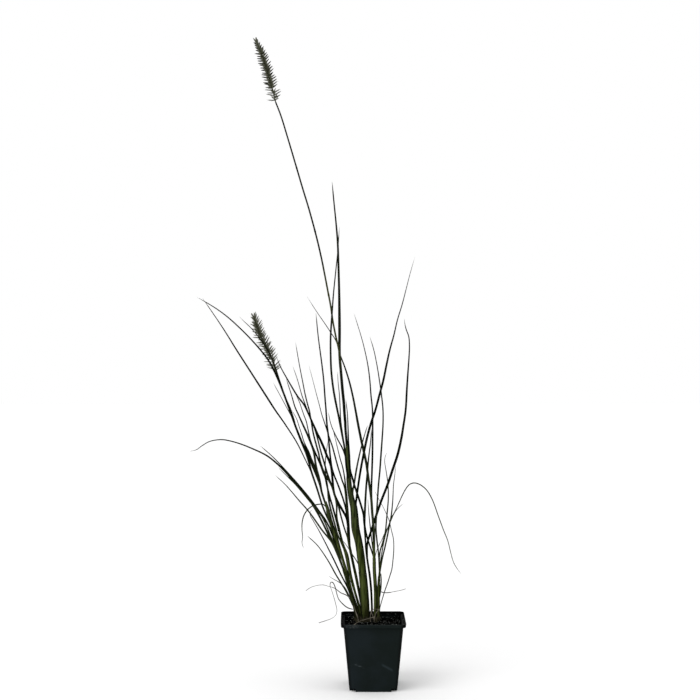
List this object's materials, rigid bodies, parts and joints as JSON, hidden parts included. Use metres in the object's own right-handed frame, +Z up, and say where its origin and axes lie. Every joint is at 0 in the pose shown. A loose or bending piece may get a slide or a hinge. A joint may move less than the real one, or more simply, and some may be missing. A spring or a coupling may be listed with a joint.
{
  "type": "potted fountain grass",
  "caption": "Young clump of fountain grass with arching narrow blades and slim bristly flower heads, growing in a square black nursery pot filled with soil.",
  "frame": {"origin": "middle of the pot's foot, on the surface that the pot stands on", "axes": "+Z up along the plant, +X to the right in the front view, the front faces -Y; the pot's sides lie along X and Y"},
  "size_m": [0.3754, 0.2941, 0.9105],
  "materials": {
    "pot_plastic": "matte",
    "peat": "crumbly",
    "leaf": "satin",
    "flower_head": "bristly",
    "dry_leaf": "dry"
  },
  "bodies": {
    "root": {"head_short_culm": "flower_head", "head_tall_culm": "flower_head", "tiller_outer_left": "leaf", "tiller_arching": "leaf", "tiller_short_culm": "leaf", "tiller_front_left": "leaf", "tiller_inner_left": "leaf", "tiller_tall_culm": "leaf", "tiller_back": "leaf", "tiller_inner_right": "leaf", "tiller_outer_right": "leaf", "dry_leaf_hooked": "dry_leaf", "dry_leaf_left": "dry_leaf", "dry_leaf_right": "dry_leaf", "loose_straw": "dry_leaf", "soil": "peat", "pot": "pot_plastic"}
  },
  "joints": []
}
